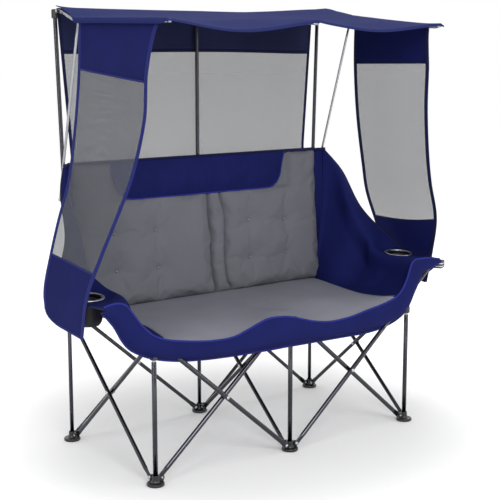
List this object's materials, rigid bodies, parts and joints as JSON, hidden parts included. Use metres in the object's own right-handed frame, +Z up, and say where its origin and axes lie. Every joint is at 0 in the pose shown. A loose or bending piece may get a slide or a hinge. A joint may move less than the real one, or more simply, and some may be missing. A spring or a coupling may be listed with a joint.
{
  "type": "folding camping loveseat with canopy",
  "caption": "Two-person folding camp seat on a crossing-brace frame that closes in width and depth, with arms, cup holders, a high back and a hinged sun canopy with side curtains.",
  "frame": {"origin": "on the ground below the middle of the whole chair", "axes": "+X to the right seen from the front, +Y to the rear, +Z up; the seat faces -Y"},
  "size_m": [1.507, 0.71, 1.516],
  "materials": {
    "frame_tube": "dark gunmetal powder coat on steel tube",
    "canopy_tube": "satin grey plated steel tube",
    "black_plastic": "glossy moulded plastic",
    "navy_fabric": "plain woven coated polyester",
    "sail_fabric": "light woven coated polyester",
    "grey_fabric": "padded woven polyester",
    "mesh_fabric": "see-through knitted mesh with navy ends",
    "net_fabric": "dark net"
  },
  "bodies": {
    "center_rear": {"rear_center_foot": "black_plastic", "rear_center_pole": "frame_tube", "center_pole_cap": "black_plastic", "seat_pad": "grey_fabric", "left_back_pad": "grey_fabric", "middle_back_pad": "grey_fabric", "right_back_pad": "grey_fabric", "headrest_pad": "navy_fabric", "rear_panel": "mesh_fabric"},
    "center_brace_one": {"center_brace_one": "frame_tube"},
    "center_brace_two": {"center_brace_two": "frame_tube"},
    "center_front": {"front_center_foot": "black_plastic", "front_center_post": "frame_tube"},
    "front_center_hub": {"front_center_hub": "black_plastic", "front_band": "navy_fabric"},
    "rear_center_sleeve": {"rear_center_sleeve": "black_plastic"},
    "front_left_brace_one": {"front_left_brace_one": "frame_tube"},
    "front_left_brace_two": {"front_left_brace_two": "frame_tube"},
    "front_left_corner": {"front_left_foot": "black_plastic", "front_left_post": "frame_tube"},
    "front_left_hub": {"front_left_hub": "black_plastic"},
    "rear_left_brace_one": {"rear_left_brace_one": "frame_tube"},
    "rear_left_brace_two": {"rear_left_brace_two": "frame_tube"},
    "rear_left_corner": {"rear_left_foot": "black_plastic", "rear_left_pole": "frame_tube", "left_pole_cap": "black_plastic", "left_arm": "navy_fabric"},
    "rear_left_sleeve": {"rear_left_sleeve": "black_plastic"},
    "side_left_brace_one": {"side_left_brace_one": "frame_tube"},
    "side_left_brace_two": {"side_left_brace_two": "frame_tube"},
    "front_right_brace_one": {"front_right_brace_one": "frame_tube"},
    "front_right_brace_two": {"front_right_brace_two": "frame_tube"},
    "front_right_corner": {"front_right_foot": "black_plastic", "front_right_post": "frame_tube"},
    "front_right_hub": {"front_right_hub": "black_plastic"},
    "rear_right_brace_one": {"rear_right_brace_one": "frame_tube"},
    "rear_right_brace_two": {"rear_right_brace_two": "frame_tube"},
    "rear_right_corner": {"rear_right_foot": "black_plastic", "rear_right_pole": "frame_tube", "right_pole_cap": "black_plastic", "right_arm": "navy_fabric"},
    "rear_right_sleeve": {"rear_right_sleeve": "black_plastic"},
    "side_right_brace_one": {"side_right_brace_one": "frame_tube"},
    "side_right_brace_two": {"side_right_brace_two": "frame_tube"},
    "left_cup_holder": {"left_cup_ring": "black_plastic", "left_net_pouch": "net_fabric"},
    "right_cup_holder": {"right_cup_ring": "black_plastic", "right_net_pouch": "net_fabric"},
    "glass_holder": {"glass_holder": "navy_fabric"},
    "center_canopy_rib": {"center_canopy_rib": "canopy_tube", "canopy_sail": "sail_fabric"},
    "left_canopy_rib": {"left_canopy_rib": "canopy_tube", "left_curtain": "mesh_fabric"},
    "left_canopy_strut": {"left_canopy_strut": "canopy_tube"},
    "left_strut_collar": {"left_strut_collar": "black_plastic"},
    "right_canopy_rib": {"right_canopy_rib": "canopy_tube", "right_curtain": "mesh_fabric"},
    "right_canopy_strut": {"right_canopy_strut": "canopy_tube"},
    "right_strut_collar": {"right_strut_collar": "black_plastic"}
  },
  "joints": [
    {"name": "frame_fold", "type": "hinge", "parent": "center_rear", "child": "center_brace_one", "pos_m": [0, 0.304, 0.022], "axis": [-1, 0, 0], "range_deg": [0, 40], "deforming": ["seat_pad", "left_back_pad", "middle_back_pad", "right_back_pad", "headrest_pad", "front_band", "left_arm", "right_arm", "rear_panel"]},
    {"name": "center_brace_cross", "type": "hinge", "parent": "center_brace_one", "child": "center_brace_two", "pos_m": [0, 0.051, 0.242], "axis": [-1, 0, 0], "range_deg": [-81, 0]},
    {"name": "front_center_foot_turn", "type": "hinge", "parent": "center_brace_two", "child": "center_front", "pos_m": [0, -0.202, 0.022], "axis": [-1, 0, 0], "range_deg": [0, 41]},
    {"name": "front_center_hub_turn", "type": "hinge", "parent": "center_brace_one", "child": "front_center_hub", "pos_m": [0, -0.202, 0.462], "axis": [-1, 0, 0], "range_deg": [-41, 0]},
    {"name": "rear_center_sleeve_turn", "type": "hinge", "parent": "center_brace_two", "child": "rear_center_sleeve", "pos_m": [0, 0.304, 0.462], "axis": [-1, 0, 0], "range_deg": [0, 41]},
    {"name": "front_left_brace_one_turn", "type": "hinge", "parent": "center_front", "child": "front_left_brace_one", "pos_m": [-0.022, -0.224, 0.022], "axis": [0, 1, 0], "range_deg": [0, 41]},
    {"name": "front_left_brace_cross", "type": "hinge", "parent": "front_left_brace_one", "child": "front_left_brace_two", "pos_m": [-0.275, -0.224, 0.242], "axis": [0, 1, 0], "range_deg": [-81, 0]},
    {"name": "front_left_foot_turn", "type": "hinge", "parent": "front_left_brace_two", "child": "front_left_corner", "pos_m": [-0.528, -0.224, 0.022], "axis": [0, 1, 0], "range_deg": [0, 41]},
    {"name": "front_left_hub_turn", "type": "hinge", "parent": "front_left_brace_one", "child": "front_left_hub", "pos_m": [-0.528, -0.224, 0.462], "axis": [0, 1, 0], "range_deg": [-41, 0]},
    {"name": "rear_left_brace_one_turn", "type": "hinge", "parent": "center_rear", "child": "rear_left_brace_one", "pos_m": [-0.022, 0.326, 0.022], "axis": [0, 1, 0], "range_deg": [0, 41]},
    {"name": "rear_left_brace_cross", "type": "hinge", "parent": "rear_left_brace_one", "child": "rear_left_brace_two", "pos_m": [-0.275, 0.326, 0.242], "axis": [0, 1, 0], "range_deg": [-81, 0]},
    {"name": "rear_left_foot_turn", "type": "hinge", "parent": "rear_left_brace_two", "child": "rear_left_corner", "pos_m": [-0.528, 0.326, 0.022], "axis": [0, 1, 0], "range_deg": [0, 41]},
    {"name": "rear_left_sleeve_turn", "type": "hinge", "parent": "rear_left_brace_one", "child": "rear_left_sleeve", "pos_m": [-0.528, 0.326, 0.462], "axis": [0, 1, 0], "range_deg": [-41, 0]},
    {"name": "side_left_brace_one_turn", "type": "hinge", "parent": "rear_left_corner", "child": "side_left_brace_one", "pos_m": [-0.55, 0.304, 0.022], "axis": [-1, 0, 0], "range_deg": [0, 41]},
    {"name": "side_left_brace_cross", "type": "hinge", "parent": "side_left_brace_one", "child": "side_left_brace_two", "pos_m": [-0.55, 0.051, 0.242], "axis": [-1, 0, 0], "range_deg": [-81, 0]},
    {"name": "front_right_brace_one_turn", "type": "hinge", "parent": "center_front", "child": "front_right_brace_one", "pos_m": [0.022, -0.224, 0.022], "axis": [0, -1, 0], "range_deg": [0, 41]},
    {"name": "front_right_brace_cross", "type": "hinge", "parent": "front_right_brace_one", "child": "front_right_brace_two", "pos_m": [0.275, -0.224, 0.242], "axis": [0, -1, 0], "range_deg": [-81, 0]},
    {"name": "front_right_foot_turn", "type": "hinge", "parent": "front_right_brace_two", "child": "front_right_corner", "pos_m": [0.528, -0.224, 0.022], "axis": [0, -1, 0], "range_deg": [0, 41]},
    {"name": "front_right_hub_turn", "type": "hinge", "parent": "front_right_brace_one", "child": "front_right_hub", "pos_m": [0.528, -0.224, 0.462], "axis": [0, -1, 0], "range_deg": [-41, 0]},
    {"name": "rear_right_brace_one_turn", "type": "hinge", "parent": "center_rear", "child": "rear_right_brace_one", "pos_m": [0.022, 0.326, 0.022], "axis": [0, -1, 0], "range_deg": [0, 41]},
    {"name": "rear_right_brace_cross", "type": "hinge", "parent": "rear_right_brace_one", "child": "rear_right_brace_two", "pos_m": [0.275, 0.326, 0.242], "axis": [0, -1, 0], "range_deg": [-81, 0]},
    {"name": "rear_right_foot_turn", "type": "hinge", "parent": "rear_right_brace_two", "child": "rear_right_corner", "pos_m": [0.528, 0.326, 0.022], "axis": [0, -1, 0], "range_deg": [0, 41]},
    {"name": "rear_right_sleeve_turn", "type": "hinge", "parent": "rear_right_brace_one", "child": "rear_right_sleeve", "pos_m": [0.528, 0.326, 0.462], "axis": [0, -1, 0], "range_deg": [-41, 0]},
    {"name": "side_right_brace_one_turn", "type": "hinge", "parent": "rear_right_corner", "child": "side_right_brace_one", "pos_m": [0.55, 0.304, 0.022], "axis": [-1, 0, 0], "range_deg": [0, 41]},
    {"name": "side_right_brace_cross", "type": "hinge", "parent": "side_right_brace_one", "child": "side_right_brace_two", "pos_m": [0.55, 0.051, 0.242], "axis": [-1, 0, 0], "range_deg": [-81, 0]},
    {"name": "left_cup_holder_follow", "type": "slide", "parent": "rear_left_corner", "child": "left_cup_holder", "axis": [0, 1, 0], "range_m": [0, 0.2726]},
    {"name": "right_cup_holder_follow", "type": "slide", "parent": "rear_right_corner", "child": "right_cup_holder", "axis": [0, 1, 0], "range_m": [0, 0.2726]},
    {"name": "glass_holder_follow", "type": "slide", "parent": "rear_right_corner", "child": "glass_holder", "axis": [0, 1, 0], "range_m": [0, 0.3257]},
    {"name": "canopy_fold", "type": "hinge", "parent": "center_rear", "child": "center_canopy_rib", "pos_m": [0, 0.304, 1.495], "axis": [1, 0, 0], "range_deg": [0, 80], "deforming": ["canopy_sail", "left_curtain", "right_curtain"]},
    {"name": "left_canopy_rib_turn", "type": "hinge", "parent": "rear_left_corner", "child": "left_canopy_rib", "pos_m": [-0.572, 0.304, 1.495], "axis": [1, 0, 0], "range_deg": [0, 81]},
    {"name": "left_canopy_strut_turn", "type": "hinge", "parent": "left_canopy_rib", "child": "left_canopy_strut", "pos_m": [-0.5825, 0.148, 1.462], "axis": [1, 0, 0], "range_deg": [-96, 0]},
    {"name": "left_strut_collar_slide", "type": "slide", "parent": "rear_left_corner", "child": "left_strut_collar", "axis": [0.0278, 0, -0.9996], "range_m": [0, 0.1536]},
    {"name": "right_canopy_rib_turn", "type": "hinge", "parent": "rear_right_corner", "child": "right_canopy_rib", "pos_m": [0.572, 0.304, 1.495], "axis": [1, 0, 0], "range_deg": [0, 81]},
    {"name": "right_canopy_strut_turn", "type": "hinge", "parent": "right_canopy_rib", "child": "right_canopy_strut", "pos_m": [0.5825, 0.148, 1.462], "axis": [1, 0, 0], "range_deg": [-96, 0]},
    {"name": "right_strut_collar_slide", "type": "slide", "parent": "rear_right_corner", "child": "right_strut_collar", "axis": [-0.0278, 0, -0.9996], "range_m": [0, 0.1536]}
  ],
  "couplings": [
    {"joint": "center_brace_cross", "follows": "frame_fold", "ratio": -2},
    {"joint": "front_center_foot_turn", "follows": "frame_fold", "ratio": 1},
    {"joint": "front_center_hub_turn", "follows": "frame_fold", "ratio": -1},
    {"joint": "rear_center_sleeve_turn", "follows": "frame_fold", "ratio": 1},
    {"joint": "front_left_brace_one_turn", "follows": "frame_fold", "ratio": 1},
    {"joint": "front_left_brace_cross", "follows": "frame_fold", "ratio": -2},
    {"joint": "front_left_foot_turn", "follows": "frame_fold", "ratio": 1},
    {"joint": "front_left_hub_turn", "follows": "frame_fold", "ratio": -1},
    {"joint": "rear_left_brace_one_turn", "follows": "frame_fold", "ratio": 1},
    {"joint": "rear_left_brace_cross", "follows": "frame_fold", "ratio": -2},
    {"joint": "rear_left_foot_turn", "follows": "frame_fold", "ratio": 1},
    {"joint": "rear_left_sleeve_turn", "follows": "frame_fold", "ratio": -1},
    {"joint": "side_left_brace_one_turn", "follows": "frame_fold", "ratio": 1},
    {"joint": "side_left_brace_cross", "follows": "frame_fold", "ratio": -2},
    {"joint": "front_right_brace_one_turn", "follows": "frame_fold", "ratio": 1},
    {"joint": "front_right_brace_cross", "follows": "frame_fold", "ratio": -2},
    {"joint": "front_right_foot_turn", "follows": "frame_fold", "ratio": 1},
    {"joint": "front_right_hub_turn", "follows": "frame_fold", "ratio": -1},
    {"joint": "rear_right_brace_one_turn", "follows": "frame_fold", "ratio": 1},
    {"joint": "rear_right_brace_cross", "follows": "frame_fold", "ratio": -2},
    {"joint": "rear_right_foot_turn", "follows": "frame_fold", "ratio": 1},
    {"joint": "rear_right_sleeve_turn", "follows": "frame_fold", "ratio": -1},
    {"joint": "side_right_brace_one_turn", "follows": "frame_fold", "ratio": 1},
    {"joint": "side_right_brace_cross", "follows": "frame_fold", "ratio": -2},
    {"joint": "left_cup_holder_follow", "follows": "frame_fold", "m_per_rad": 0.38661},
    {"joint": "right_cup_holder_follow", "follows": "frame_fold", "m_per_rad": 0.38661},
    {"joint": "glass_holder_follow", "follows": "frame_fold", "m_per_rad": 0.46186},
    {"joint": "left_canopy_rib_turn", "follows": "canopy_fold", "ratio": 1},
    {"joint": "left_canopy_strut_turn", "follows": "canopy_fold", "ratio": -1.1876},
    {"joint": "left_strut_collar_slide", "follows": "canopy_fold", "m_per_rad": 0.1089},
    {"joint": "right_canopy_rib_turn", "follows": "canopy_fold", "ratio": 1},
    {"joint": "right_canopy_strut_turn", "follows": "canopy_fold", "ratio": -1.1876},
    {"joint": "right_strut_collar_slide", "follows": "canopy_fold", "m_per_rad": 0.1089}
  ]
}
